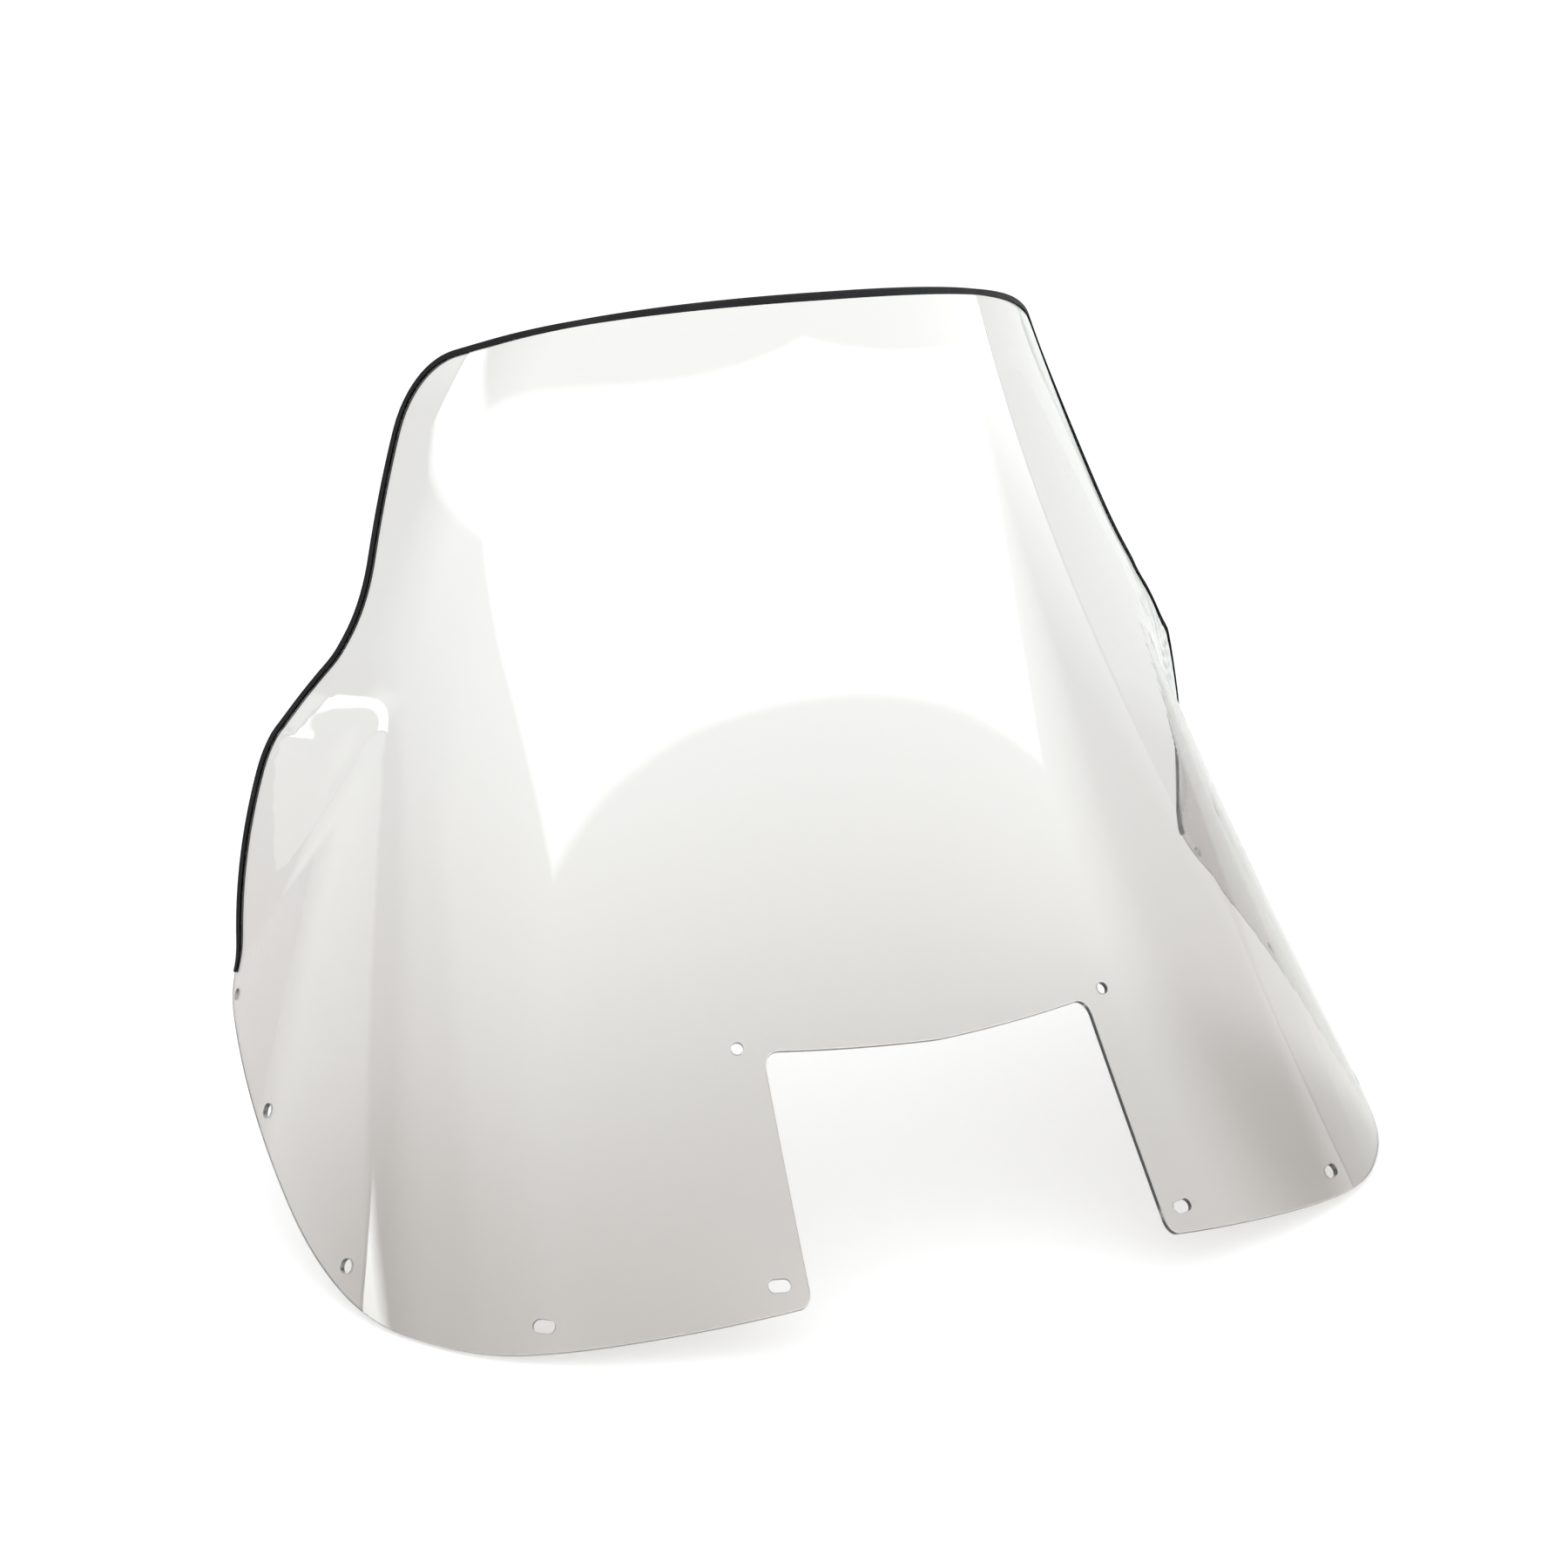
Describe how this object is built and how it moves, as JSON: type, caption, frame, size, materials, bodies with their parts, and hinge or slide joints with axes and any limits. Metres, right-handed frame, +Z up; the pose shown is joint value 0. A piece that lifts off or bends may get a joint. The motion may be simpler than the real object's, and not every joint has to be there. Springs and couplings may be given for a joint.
{
  "type": "windshield screen",
  "caption": "Clear light-smoke windshield, wrapped and raked, with folded side wings, a bottom notch, mounting holes and black edge trim.",
  "frame": {"origin": "on the mid plane, at the middle of the bounding box front to back, level with the lowest edge of the sheet", "axes": "+X to the right-hand side as the rider sees it from behind, +Y to the rear, towards the rider, +Z up; the convex front faces -Y"},
  "size_m": [0.6506, 0.3624, 0.4941],
  "materials": {
    "smoke_polycarbonate": "polished clear polycarbonate with a light smoke tint",
    "black_vinyl": "satin black vinyl"
  },
  "bodies": {
    "root": {"screen": "smoke_polycarbonate", "edge_trim": "black_vinyl"}
  },
  "joints": []
}
